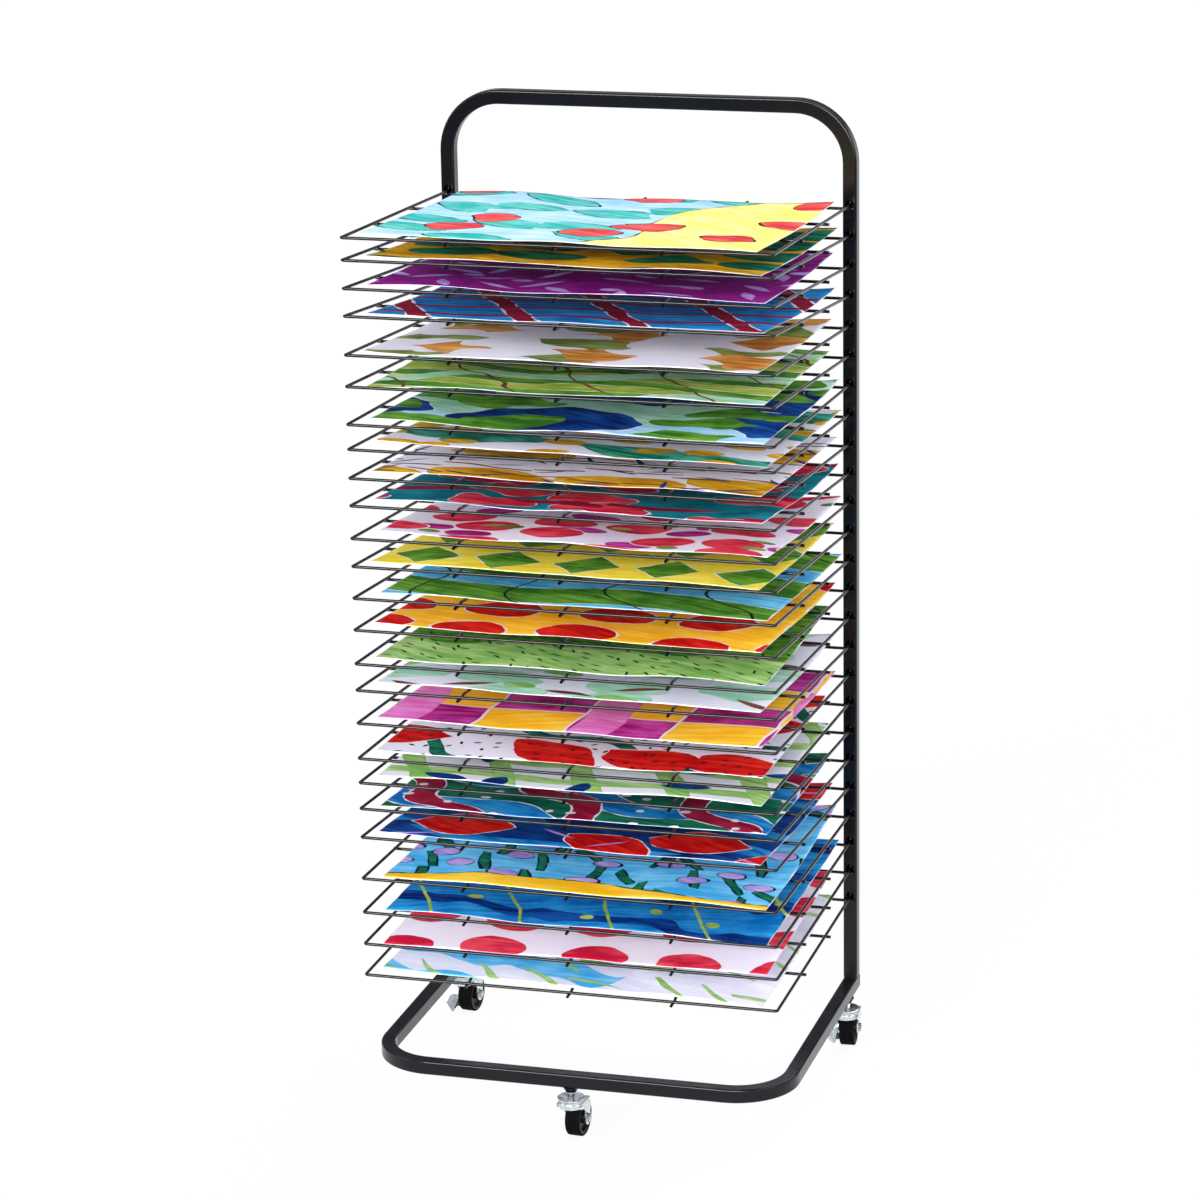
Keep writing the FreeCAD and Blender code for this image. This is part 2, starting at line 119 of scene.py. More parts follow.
def plug(value, socket):
    """Feeds a socket with a Number, another socket or a plain value."""
    if isinstance(value, Number):
        value = value.socket
    if isinstance(value, bpy.types.NodeSocket):
        socket.id_data.links.new(value, socket)
    else:
        socket.default_value = value


def calc(operation, *values, clamp=False):
    """The result of one Math node on Numbers and plain numbers."""
    tree = next(value.socket.id_data for value in values if isinstance(value, Number))
    maths = tree.nodes.new("ShaderNodeMath")
    maths.operation, maths.use_clamp = operation, clamp
    for value, socket in zip(values, maths.inputs):
        plug(value, socket)
    return Number(maths.outputs[0])


def split(vector):
    """A vector's three parts as Numbers."""
    parts = vector.id_data.nodes.new("ShaderNodeSeparateXYZ")
    plug(vector, parts.inputs[0])
    return [Number(part) for part in parts.outputs]


def blend(share, first, second):
    """Colour that goes from first to second as share goes from 0 to 1."""
    mix = share.socket.id_data.nodes.new("ShaderNodeMix")
    mix.data_type = "RGBA"
    for value, socket in ((share, mix.inputs[0]), (first, mix.inputs[6]), (second, mix.inputs[7])):
        plug(value, socket)
    return mix.outputs[2]


def rays(tree, *kinds):
    """1 for rays of any of the kinds, and 0 for the rest."""
    path = tree.nodes.new("ShaderNodeLightPath").outputs
    found = Number(path[kinds[0]])
    for kind in kinds[1:]:
        found = calc("MAXIMUM", found, Number(path[kind]))
    return found


def object_place(tree):
    """Object coordinates, in metres from the rack's origin."""
    return tree.nodes.new("ShaderNodeTexCoord").outputs["Object"]


# The world's strength goes by height alone: the backdrop is full up to 3
# degrees and gone at 10, and the ceiling grows from 24 degrees to 41. The
# camera sees plain white all round.
SKY, WHITE = (0.86, 0.89, 1, 1), (1, 1, 1, 1)
BACKDROP, CEILING, WALLS = 0.84, 0.44, 0.16

studio = bpy.data.worlds.new("studio")
studio.use_nodes = True
bpy.context.scene.world = studio
tree = studio.node_tree
sky = tree.nodes["Background"].inputs
rise = split(tree.nodes.new("ShaderNodeTexCoord").outputs["Generated"])[2]
around = rise.ramp(-9.0, 1.5) * BACKDROP + (rise.ramp(4.0, -1.6) * CEILING + WALLS)
in_view = rays(tree, "Is Camera Ray")
plug(blend(in_view, SKY, WHITE), sky["Color"])
plug(calc("MAXIMUM", around, in_view), sky["Strength"])


def soft_lamp(name, strength, heading, height, spread):
    """A distant lamp at a heading from the front and a height, in degrees.
    It shines from (sin h cos v, -cos h cos v, sin v)."""
    lamp = bpy.data.lights.new(name, "SUN")
    lamp.energy, lamp.angle = strength, radians(spread)
    holder = bpy.data.objects.new(name, lamp)
    h, v = radians(heading), radians(height)
    towards = Vector((sin(h) * cos(v), -cos(h) * cos(v), sin(v)))
    holder.rotation_mode = "QUATERNION"
    holder.rotation_quaternion = towards.to_track_quat("Z", "Y")
    bpy.context.scene.collection.objects.link(holder)


soft_lamp("front lamp", 4.3, heading=10, height=10, spread=32)
soft_lamp("key lamp", 2.2, heading=-16, height=19, spread=16)
soft_lamp("left lamp", 1.1, heading=-62, height=13, spread=44)
soft_lamp("right lamp", 1.1, heading=68, height=13, spread=44)
soft_lamp("rear lamp", 1.2, heading=150, height=56, spread=50)

# The floor is matt for the light, and nearly plain white for what looks at it.
# From half a metre in front of the rack's middle on, it fades to dark in what
# the coats mirror.
FLOOR_REACH = 90
MATT_WHITE = (0.88, 0.88, 0.88, 1)
GLOW_SHARE = 0.9
FADE = 0.9

floor_mesh = bpy.data.meshes.new("floor")
floor_corners = [(x * FLOOR_REACH, y * FLOOR_REACH, 0) for x, y in ((-1, -1), (1, -1), (1, 1), (-1, 1))]
floor_mesh.from_pydata(floor_corners, [], [(0, 1, 2, 3)])
floor = bpy.data.objects.new("floor", floor_mesh)
bpy.context.scene.collection.objects.link(floor)
floor_white = bpy.data.materials.new("floor white")
floor_white.use_nodes = True
tree = floor_white.node_tree
tree.nodes.clear()
matt = tree.nodes.new("ShaderNodeBsdfDiffuse")
plug(MATT_WHITE, matt.inputs["Color"])
glow = tree.nodes.new("ShaderNodeEmission")
ahead_of_rack = split(object_place(tree))[1].ramp(-1.2, -0.6)
plug(1.0 - ahead_of_rack * rays(tree, "Is Glossy Ray") * FADE, glow.inputs["Strength"])
mixed = tree.nodes.new("ShaderNodeMixShader")
looked_at = rays(tree, "Is Camera Ray", "Is Glossy Ray", "Is Transmission Ray")
plug(looked_at * GLOW_SHARE, mixed.inputs[0])
plug(matt.outputs[0], mixed.inputs[1])
plug(glow.outputs[0], mixed.inputs[2])
plug(mixed.outputs[0], tree.nodes.new("ShaderNodeOutputMaterial").inputs[0])
floor_mesh.materials.append(floor_white)


# ------------------------------------------------ hoop, base bar and bosses
# Bent square steel tube, welded, then powder-coated satin black all over. The
# coat has a fine orange peel, and dust lies on what faces up.
def new_group(name, outputs, **inputs):
    """An empty node group that takes a Vector and the titled inputs, which are
    vectors where they are tuples, and puts out numbers. Returns what it is
    given, and the sockets of its results."""
    inputs = {"Vector": (0.0, 0.0, 0.0), **inputs}
    tree = bpy.data.node_groups.new(name, "ShaderNodeTree")
    for title, value in inputs.items():
        kind = "NodeSocketVector" if isinstance(value, tuple) else "NodeSocketFloat"
        tree.interface.new_socket(title, in_out="INPUT", socket_type=kind).default_value = value
    for title in outputs:
        tree.interface.new_socket(title, in_out="OUTPUT", socket_type="NodeSocketFloat")
    sockets = tree.nodes.new("NodeGroupInput").outputs
    given = {title: sockets[title] if isinstance(value, tuple) else Number(sockets[title])
             for title, value in inputs.items()}
    return given, tree.nodes.new("NodeGroupOutput").inputs


def use_group(name, vector, **values):
    """A node group placed on a vector in a material: its results as Numbers."""
    placed = vector.id_data.nodes.new("ShaderNodeGroup")
    placed.node_tree = bpy.data.node_groups[name]
    for title, value in {"Vector": vector, **values}.items():
        plug(value, placed.inputs[title])
    return {socket.name: Number(socket) for socket in placed.outputs}


def noise_texture(vector, size, detail=2.0, seed=0.0, roughness=0.5):
    """The outputs of a Noise texture whose lumps are about size across."""
    texture = vector.id_data.nodes.new("ShaderNodeTexNoise")
    texture.noise_dimensions = "4D"
    settings = {"Vector": vector, "Scale": 1 / size, "W": seed, "Detail": detail, "Roughness": roughness}
    for title, value in settings.items():
        plug(value, texture.inputs[title])
    return texture.outputs


def noise(vector, size, **settings):
    """Noise from 0 to 1 with the settings of noise_texture."""
    return Number(noise_texture(vector, size, **settings)["Fac"])


def rgb(*shown):
    """A colour given in 0 to 255 display values, as the linear RGBA that
    sockets take: ((c + 0.055) / 1.055) to the power 2.4, or c / 12.92 near 0."""
    parts = [c / 255 for c in shown]
    return (*[((c + 0.055) / 1.055) ** 2.4 if c > 0.04 else c / 12.92 for c in parts], 1.0)


# Powder coat: orange peel, patchy gloss, and dust that settles on upper faces.
given, result = new_group("powder coat", ("Height", "Gloss", "Dust"), Peel=0.0016, Dust=0.3)
patch = noise(given["Vector"], 0.035, detail=3.0, seed=4.0)
speck = noise(given["Vector"], 0.0007, detail=3.0, seed=9.0, roughness=0.7)
normal = given["Vector"].id_data.nodes.new("ShaderNodeNewGeometry").outputs["Normal"]
facing_up = split(normal)[2].ramp(3.0, -2.0)
settled = facing_up * (speck * patch).ramp(6.0, -1.2)
plug(noise(given["Vector"], given["Peel"]), result["Height"])
plug(patch * 0.8 + speck * 0.2, result["Gloss"])
plug(settled * given["Dust"], result["Dust"])


def new_material(name):
    """A material with a Principled shader, and its tree and that shader's inputs."""
    material = bpy.data.materials.new(name)
    material.use_nodes = True
    return material, material.node_tree, material.node_tree.nodes["Principled BSDF"].inputs


def raise_surface(shader, height, distance, strength):
    """Bump from a height, with distance in metres between its 0 and 1."""
    bump = height.socket.id_data.nodes.new("ShaderNodeBump")
    for title, value in (("Distance", distance), ("Strength", strength), ("Height", height)):
        plug(value, bump.inputs[title])
    plug(bump.outputs["Normal"], shader["Normal"])


def between(value, low, high):
    """Low plus value times the way from low to high."""
    return value * (high - low) + low


DUST_GREY = rgb(96, 95, 97)


def powder_coat(name, colour, roughness, peel, dust, shine):
    """Satin powder coat whose roughness wanders between two values, with
    orange peel of a given size, and a share of dust."""
    material, tree, shader = new_material(name)
    coat = use_group("powder coat", object_place(tree), Peel=peel, Dust=dust)
    plug(blend(coat["Dust"], colour, DUST_GREY), shader["Base Color"])
    plug(between(coat["Gloss"], *roughness), shader["Roughness"])
    raise_surface(shader, coat["Height"], distance=0.00004, strength=0.15)
    plug(shine, shader["Specular IOR Level"])
    return material


def finish_node(material, *names):
    """Gives CAD nodes their material."""
    for name in names:
        for material_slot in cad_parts[name].material_slots:
            material_slot.material = material


frame_paint = powder_coat("frame paint", rgb(3, 4, 8), (0.14, 0.26), peel=0.0016, dust=0.08, shine=0.3)
finish_node(frame_paint, "hoop_frame", "base_frame", "caster_bosses")


# ------------------------------------------------------------- wire shelves
# Spot-welded steel wire, bent cold and powder-coated in the same black. The
# coat is thinner and glossier than on the tube.
wire_paint = powder_coat("wire paint", rgb(3, 3, 5), (0.08, 0.16), peel=0.0009, dust=0.03, shine=0.34)
finish_node(wire_paint, *["shelf_%02d" % number for number in range(1, 26)])


# -------------------------------------------------------- base bar's plugs
# Two plugs of black plastic, moulded with a dull grain and pushed into the
# base bar's open rear ends.
def moulded(name, dark, light, roughness, grain, depth, strength, detail=2.0, shine=0.5):
    """Moulded plastic: noise of the grain's size moves the colour from dark to
    light and the roughness between two values, and raises the surface."""
    material, tree, shader = new_material(name)
    mould = noise(object_place(tree), grain, detail=detail)
    plug(blend(mould, dark, light), shader["Base Color"])
    plug(between(mould, *roughness), shader["Roughness"])
    raise_surface(shader, mould, depth, strength)
    plug(shine, shader["Specular IOR Level"])
    return material


plug_black = moulded(
    "plug plastic", rgb(20, 20, 21), rgb(33, 33, 35), (0.5, 0.7), grain=0.0006, depth=0.0001, strength=0.5)
finish_node(plug_black, "tube_end_plugs")


# ------------------------------------------------------------------ casters
# Pressed steel fork, domed race and stem, bright zinc plated; moulded core and
# solid rubber tyre. The wheel turns on a bolt with a nut, and the rear casters
# have a pressed brake pedal with a moulded pad.
def vector_maths(operation, *values, scale=None):
    """The outputs of one Vector Math node on vectors, and on a scale if one
    is given."""
    maths = values[0].id_data.nodes.new("ShaderNodeVectorMath")
    maths.operation = operation
    for value, socket in zip(values, maths.inputs):
        plug(value, socket)
    if scale is not None:
        plug(scale, maths.inputs["Scale"])
    return maths.outputs


# Zinc plate: a bluish passivated sheen in soft patches, with fine draw lines.
given, result = new_group("zinc plate", ("Patch", "Lines", "Spots"))
squeezed = vector_maths("MULTIPLY", given["Vector"], (1, 1, 9))["Vector"]
plug(noise(given["Vector"], 0.006, detail=3.0), result["Patch"])
plug(noise(squeezed, 0.0016, detail=3.0, seed=2.0), result["Lines"])
plug(noise(given["Vector"], 0.0012, seed=7.0), result["Spots"])


def zinc(name, light, dark, roughness):
    """Bright zinc plate between a light and a dark tone, whose roughness
    follows the draw lines between two values."""
    material, tree, shader = new_material(name)
    plate = use_group("zinc plate", object_place(tree))
    plug(blend(plate["Patch"].ramp(1.8, -0.4), light, dark), shader["Base Color"])
    plug(between(plate["Lines"], *roughness), shader["Roughness"])
    plug(between(plate["Spots"], 0.9, 1.0), shader["Metallic"])
    raise_surface(shader, plate["Lines"], distance=0.00006, strength=0.35)
    return material


pressed_zinc = zinc("pressed zinc", rgb(236, 239, 241), rgb(178, 186, 188), (0.06, 0.2))
turned_zinc = zinc("turned zinc", rgb(212, 214, 218), rgb(140, 144, 148), (0.08, 0.22))
caster_names = ["front", "rear_left", "rear_right"]
for name in caster_names:
    finish_node(pressed_zinc, "caster_%s_fork" % name, "caster_%s_stem" % name)
    finish_node(turned_zinc, "caster_%s_axle_bolt" % name, "caster_%s_axle_nut" % name)
finish_node(pressed_zinc, "caster_rear_left_brake_pedal", "caster_rear_right_brake_pedal")

# Wheel: with arm from the centre, Along is the arm's part along the axle, and
# Radius the root of the arm squared less Along squared.
given, result = new_group("wheel rings", ("Radius", "Along"), Centre=(0.0, 0.0, 0.0), Axle=(1.0, 0.0, 0.0))
arm = vector_maths("SUBTRACT", given["Vector"], given["Centre"])["Vector"]
along = Number(vector_maths("DOT_PRODUCT", arm, given["Axle"])["Value"])
length = Number(vector_maths("LENGTH", arm)["Value"])
plug(calc("SQRT", length * length - along * along), result["Radius"])
plug(abs(along), result["Along"])


def ring(value, middle, half, edge=0.0003):
    """1 within half of middle and 0 beyond, over a soft edge."""
    return (half - abs(value - middle)).ramp(1 / edge, 0.5)


# The casters' headings in degrees; then, from the axle, a light ring painted on a
# tyre's side as a highlight where its lip catches light, the start of its tread,
# and the outer grooves from the middle.
HEADINGS = (-4, -6, 4)
SIDE_HIGHLIGHT_RING, TREAD_STARTS, GROOVE = 0.0172, 0.0192, 0.0036

for name, heading in zip(caster_names, HEADINGS):
    low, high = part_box("caster_%s_tyre" % name)
    axle = (cos(radians(heading)), sin(radians(heading)), 0.0)
    rubber, tree, shader = new_material("tyre rubber %s" % name)
    rings = use_group("wheel rings", object_place(tree), Centre=tuple((low + high) / 2), Axle=axle)
    scuff = noise(object_place(tree), 0.004, detail=4.0, seed=3.0, roughness=0.65)
    # A pale grey ring on the tyre's side: a painted highlight, not a colour of the rubber.
    line = ring(rings["Radius"], SIDE_HIGHLIGHT_RING, 0.0003) * 0.5
    rubber_black = blend(scuff, rgb(3, 3, 5), rgb(10, 10, 12))
    plug(blend(line, rubber_black, rgb(130, 130, 132)), shader["Base Color"])
    plug(between(scuff, 0.55, 0.8), shader["Roughness"])
    tread = calc("GREATER_THAN", rings["Radius"], TREAD_STARTS)
    grooves = calc("MAXIMUM", ring(rings["Along"], 0.0, 0.0004), ring(rings["Along"], GROOVE, 0.0004))
    raise_surface(shader, scuff * 0.2 - grooves * tread, distance=0.0002, strength=0.5)
    plug(0.03, shader["Specular IOR Level"])
    finish_node(rubber, "caster_%s_tyre" % name)

core_black = moulded(
    "wheel core plastic", rgb(6, 6, 8), rgb(16, 16, 18), (0.28, 0.45),
    grain=0.0011, depth=0.00008, strength=0.4, shine=0.15)
finish_node(core_black, *["caster_%s_wheel_core" % name for name in caster_names])

pad_black = moulded(
    "brake pad plastic", rgb(18, 18, 19), rgb(30, 30, 31), (0.45, 0.65),
    grain=0.0008, depth=0.0001, strength=0.5, detail=3.0)
finish_node(pad_black, "caster_rear_left_brake_pad", "caster_rear_right_brake_pad")


# ----------------------------------------------------------- painted sheets
# Stiff watercolour paper, one sheet a shelf, painted in gouache and washes.
# Each lies on its shelf's long wires, a little askew, and its corners curl
# where the paint dried. The pictures are plain patterns.
SHEET = (0.406, 0.305)
PAPER = 0.0003
PLAIN_SHEETS = 9

# Paint ends over 1 / 1400 m, about 0.7 mm.
FADE_PER_METRE = 1400.0


def wobbled(vector, size, amount, seed):
    """Coordinates pushed about by up to half of amount, in lumps of size."""
    pushes = noise_texture(vector, size, detail=0.6, seed=seed)["Color"]
    centred = vector_maths("SUBTRACT", pushes, (0.5, 0.5, 0.5))["Vector"]
    scaled = vector_maths("SCALE", centred, scale=amount)["Vector"]
    return vector_maths("ADD", vector, scaled)["Vector"]


def across_and_deep(vector, angle=0.0):
    """The sheet's two coordinates, after a turn by angle."""
    turned = vector.id_data.nodes.new("ShaderNodeVectorRotate")
    turned.rotation_type = "Z_AXIS"
    plug(vector, turned.inputs["Vector"])
    plug(angle, turned.inputs["Angle"])
    return split(turned.outputs[0])[:2]


def joined(across, deep):
    """A vector of two Numbers."""
    vector = across.socket.id_data.nodes.new("ShaderNodeCombineXYZ")
    plug(across, vector.inputs[0])
    plug(deep, vector.inputs[1])
    return vector.outputs[0]


def nearest(vector, scatter):
    """The nearest point of a unit grid shaken by scatter: a Voronoi's outputs."""
    voronoi = vector.id_data.nodes.new("ShaderNodeTexVoronoi")
    voronoi.voronoi_dimensions = "2D"
    for title, value in (("Vector", vector), ("Scale", 1.0), ("Randomness", scatter)):
        plug(value, voronoi.inputs[title])
    return voronoi.outputs


def saw(value):
    """Distance from the middle of each unit step, from 0 to half."""
    return abs(calc("FRACT", value) - 0.5)


def rolling(across, given):
    """Sine of the way across in lengths of a full wave, plus the seed."""
    return calc("SINE", across / given["Length"] * (2 * pi) + given["Seed"])


SHAPE = ("Mask", "Rim", "Pool")
PATTERN = {"Wobble": 0.018, "Seed": 0.0}


def new_pattern(draw, lump, **sizes):
    """A node group for a pattern, named as the function that draws it. That
    takes shaken coordinates and returns the metres from the shape's edge
    inwards. Mask is 1 within the shape, Rim is a hand-drawn line of uneven
    width along its edge, and Pool falls from 1 at the edge to 0 at 3 mm in."""
    given, result = new_group(draw.__name__, SHAPE, **PATTERN, **sizes)
    inside = draw(wobbled(given["Vector"], lump, given["Wobble"], given["Seed"]), given)
    half_line = noise(given["Vector"], 0.018, seed=5.0) * 0.0054 - 0.0018
    plug(inside.ramp(FADE_PER_METRE, 0.5), result["Mask"])
    plug((half_line - abs(inside)).ramp(FADE_PER_METRE, 0.5), result["Rim"])
    plug(inside.ramp(-330.0, 1.0), result["Pool"])


def spots(shaken, given):
    """Filled rounds at the points of a shaken grid: radius less the distance
    from the nearest point."""
    across, deep = across_and_deep(shaken)
    cells = joined(across / given["Spacing"] + given["Seed"] * 1.37,
                   deep / given["Spacing"] / given["Stretch"] + given["Seed"] * 2.71)
    away = Number(nearest(cells, given["Scatter"])["Distance"]) * given["Spacing"]
    return given["Radius"] - away


def leaves(shaken, given):
    """Pointed ovals at scattered points, each turned its own way. With along
    from -0.5 to 0.5, half the width is 0.5 less twice along squared, times
    the full width."""
    across, deep = across_and_deep(shaken)
    cells = joined(across / given["Spacing"] + given["Seed"] * 3.17, deep / given["Spacing"])
    point = nearest(cells, 0.7)
    own = vector_maths("SUBTRACT", cells, point["Position"])["Vector"]
    angle = (split(point["Color"])[0] - 0.5) * given["Spread"] + given["Angle"]
    along, aside = across_and_deep(own, angle)
    along = along * given["Spacing"] / given["Length"]
    half = (0.5 - along * along * 2.0) * given["Width"]
    return half - abs(aside * given["Spacing"])


def bands(shaken, given):
    """Parallel stripes a pitch apart, which may swing from side to side as a
    sine. Share is the painted part of the pitch."""
    across, deep = across_and_deep(shaken, given["Angle"])
    deep = deep + rolling(across, given) * given["Swing"]
    off = saw(deep / given["Pitch"] + given["Seed"])
    return (given["Share"] * 0.5 - off) * given["Pitch"]


def diamonds(shaken, given):
    """A harlequin of lozenges: the distances from their middles, in lozenges
    across and deep, add up to less than half the share."""
    across, deep = across_and_deep(shaken)
    off = saw(across / given["Wide"] + given["Seed"]) + saw(deep / given["Deep"] + given["Seed"])
    return (given["Share"] * 0.5 - off) * given["Wide"]


def hills(shaken, given):
    """All that lies in front of a rolling line: height plus a sine."""
    across, deep = across_and_deep(shaken, given["Angle"])
    return rolling(across, given) * given["Swing"] + given["Height"] - deep


def margin(shaken, given):
    """The painted field: distance from the nearest edge of the sheet less the
    width of the bare border."""
    across, deep = across_and_deep(shaken)
    sides = calc("MINIMUM", across, SHEET[0] - across)
    ends = calc("MINIMUM", deep, SHEET[1] - deep)
    return calc("MINIMUM", sides, ends) - given["Width"]


new_pattern(spots, lump=0.05, Spacing=0.1, Radius=0.03, Stretch=1.0, Scatter=0.3)
new_pattern(leaves, lump=0.05, Spacing=0.06, Length=0.05, Width=0.016, Angle=0.0, Spread=1.0)
new_pattern(bands, lump=0.06, Angle=0.0, Pitch=0.08, Share=0.5, Swing=0.0, Length=0.2)
new_pattern(diamonds, lump=0.06, Wide=0.07, Deep=0.1, Share=0.8)
new_pattern(hills, lump=0.05, Angle=0.0, Height=0.1, Swing=0.02, Length=0.25)
new_pattern(margin, lump=0.045, Width=0.0004)

# Blocks: a checkerboard with bare seams between its fields.
given, result = new_group("blocks", SHAPE, **PATTERN, Wide=0.1, Deep=0.1, Seam=0.0015)
across, deep = across_and_deep(wobbled(given["Vector"], 0.05, given["Wobble"], given["Seed"]))
column, row = across / given["Wide"] + given["Seed"], deep / given["Deep"]
from_seam = calc("MINIMUM", (0.5 - saw(column)) * given["Wide"], (0.5 - saw(row)) * given["Deep"])
plug(calc("PINGPONG", calc("FLOOR", column) + calc("FLOOR", row), 1.0), result["Mask"])
plug((given["Seam"] - from_seam).ramp(FADE_PER_METRE, 0.5), result["Rim"])
plug(from_seam.ramp(-250.0, 1.3), result["Pool"])

# Brush strokes: noise drawn out along the stroke, over slow pools of wash. Dry
# is where the bristles left the paper bare.
given, result = new_group("brush strokes", ("Strokes", "Dry"), Seed=0.0, Angle=0.0, Length=0.09, Width=0.008)
across, deep = across_and_deep(wobbled(given["Vector"], 0.07, 0.03, given["Seed"]), given["Angle"])
drawn = joined(across / given["Length"], deep / given["Width"])
fine = noise(drawn, 1.0, detail=3.0, seed=given["Seed"], roughness=0.55)
pool = noise(given["Vector"], 0.05, detail=3.0, seed=given["Seed"], roughness=0.6)
bristle = noise(drawn, 0.5, detail=3.0, seed=given["Seed"] + 3.0, roughness=0.6)
plug((fine * 2.6 + pool * 2.4).ramp(1.0, -2.15), result["Strokes"])
plug((bristle + pool * 0.4).ramp(5.0, -4.9), result["Dry"])

# Paper tooth: the felt's fine pits, and slow clouds in its tone.
given, result = new_group("paper tooth", ("Height", "Tone"))
pits = noise(given["Vector"], 0.0011, detail=3.0, seed=1.0, roughness=0.6)
plug(pits, result["Height"])
cloud = noise(given["Vector"], 0.03, detail=3.0, seed=6.0)
plug(cloud * 0.6 + pits * 0.4, result["Tone"])

# Both paper tones, and the white paint below, carry a lavender cast: a painted tint for the cool light in
# the paper's shade.
PAPER_LIGHT, PAPER_SHADE = rgb(236, 235, 243), rgb(222, 220, 233)
PAPER_SHINE = 0.04


def paper(vector, shader):
    """Bare paper's colour, with its tooth in the bump."""
    tooth = use_group("paper tooth", vector)
    raise_surface(shader, tooth["Height"], distance=0.0001, strength=0.35)
    plug(PAPER_SHINE, shader["Specular IOR Level"])
    return blend(tooth["Tone"], PAPER_SHADE, PAPER_LIGHT)


paper_back, tree, shader = new_material("bare paper")
plug(paper(object_place(tree), shader), shader["Base Color"])
plug(0.9, shader["Roughness"])

# Each paint's deep tone and its thin one.
PAINT = {
    "sky": (rgb(150, 207, 240), rgb(212, 238, 252)), "azure": (rgb(62, 166, 222), rgb(138, 214, 242)),
    "turquoise": (rgb(44, 176, 170), rgb(130, 220, 206)), "emerald": (rgb(0, 104, 84), rgb(84, 186, 158)),
    "brown": (rgb(92, 48, 30), rgb(150, 96, 66)), "coral": (rgb(214, 56, 66), rgb(246, 118, 110)),
    "lemon": (rgb(236, 208, 40), rgb(252, 236, 112)), "straw": (rgb(245, 228, 112), rgb(254, 248, 176)),
    "gold": (rgb(178, 124, 4), rgb(238, 190, 44)), "amber": (rgb(244, 182, 24), rgb(254, 220, 84)),
    "bottle": (rgb(0, 74, 58), rgb(36, 138, 100)), "purple": (rgb(112, 6, 104), rgb(160, 44, 150)),
    "lilac": (rgb(160, 124, 202), rgb(216, 192, 234)), "blue": (rgb(0, 100, 170), rgb(54, 162, 218)),
    "wine": (rgb(128, 8, 40), rgb(176, 40, 72)), "ochre": (rgb(176, 104, 26), rgb(238, 184, 102)),
    "olive": (rgb(82, 106, 40), rgb(164, 180, 104)), "lime": (rgb(138, 162, 44), rgb(212, 220, 116)),
    "leaf": (rgb(48, 108, 26), rgb(128, 182, 66)), "grass": (rgb(122, 174, 84), rgb(194, 220, 150)),
    "mint": (rgb(146, 204, 172), rgb(204, 234, 216)), "navy": (rgb(0, 28, 92), rgb(24, 86, 166)),
    "teal": (rgb(0, 94, 110), rgb(32, 152, 166)), "rose": (rgb(190, 20, 56), rgb(236, 84, 98)),
    "magenta": (rgb(146, 6, 104), rgb(214, 84, 180)), "pink": (rgb(222, 110, 190), rgb(242, 172, 224)),
    "red": (rgb(178, 0, 8), rgb(230, 48, 34)), "white": (rgb(220, 217, 233), rgb(239, 237, 245)),
    "ink": (rgb(14, 14, 18), rgb(44, 38, 42)),
}


def painted(name, ground, layers, seed):
    """One sheet's material. Paints go on in order; each is a pattern's mask,
    streaked between the paint's two tones by its brush strokes, and darker
    where it pooled along the shape's edge."""
    material, tree, shader = new_material(name)
    uv = tree.nodes.new("ShaderNodeUVMap")
    uv.uv_map = "sheet"
    sheet_uv = uv.outputs[0]
    bare = paper(sheet_uv, shader)

    def stroked(paint, turn):
        """A coat of one paint: its strokes at a slant that goes by the sines
        of the sheet's seed and of the turn, with bare paper where it is dry."""
        slant = 0.3 * sin(seed) + 0.4 * sin(5 * turn)
        strokes = use_group("brush strokes", sheet_uv, Angle=slant, Seed=seed + turn)
        return blend(strokes["Dry"], blend(strokes["Strokes"], *PAINT[paint]), bare), strokes

    colour, first = stroked(ground, 0.0)
    if ground == "white":
        colour = bare
    for number, (pattern, paint, rim, values) in enumerate(layers):
        laid = use_group(pattern, sheet_uv, **{"Seed": seed + number, **values})
        wash = stroked(paint, 0.5 + number)[0]
        wash = blend(laid["Pool"] * 0.5, wash, PAINT[paint][0])
        colour = blend(laid["Mask"], colour, wash)
        if rim:
            colour = blend(laid["Rim"], colour, bare if rim == "bare" else PAINT[rim][0])
    field = use_group("margin", sheet_uv, Seed=seed, Wobble=0.006)
    plug(blend(field["Mask"], bare, colour), shader["Base Color"])
    plug(between(first["Strokes"], 0.72, 0.9), shader["Roughness"])
    return material


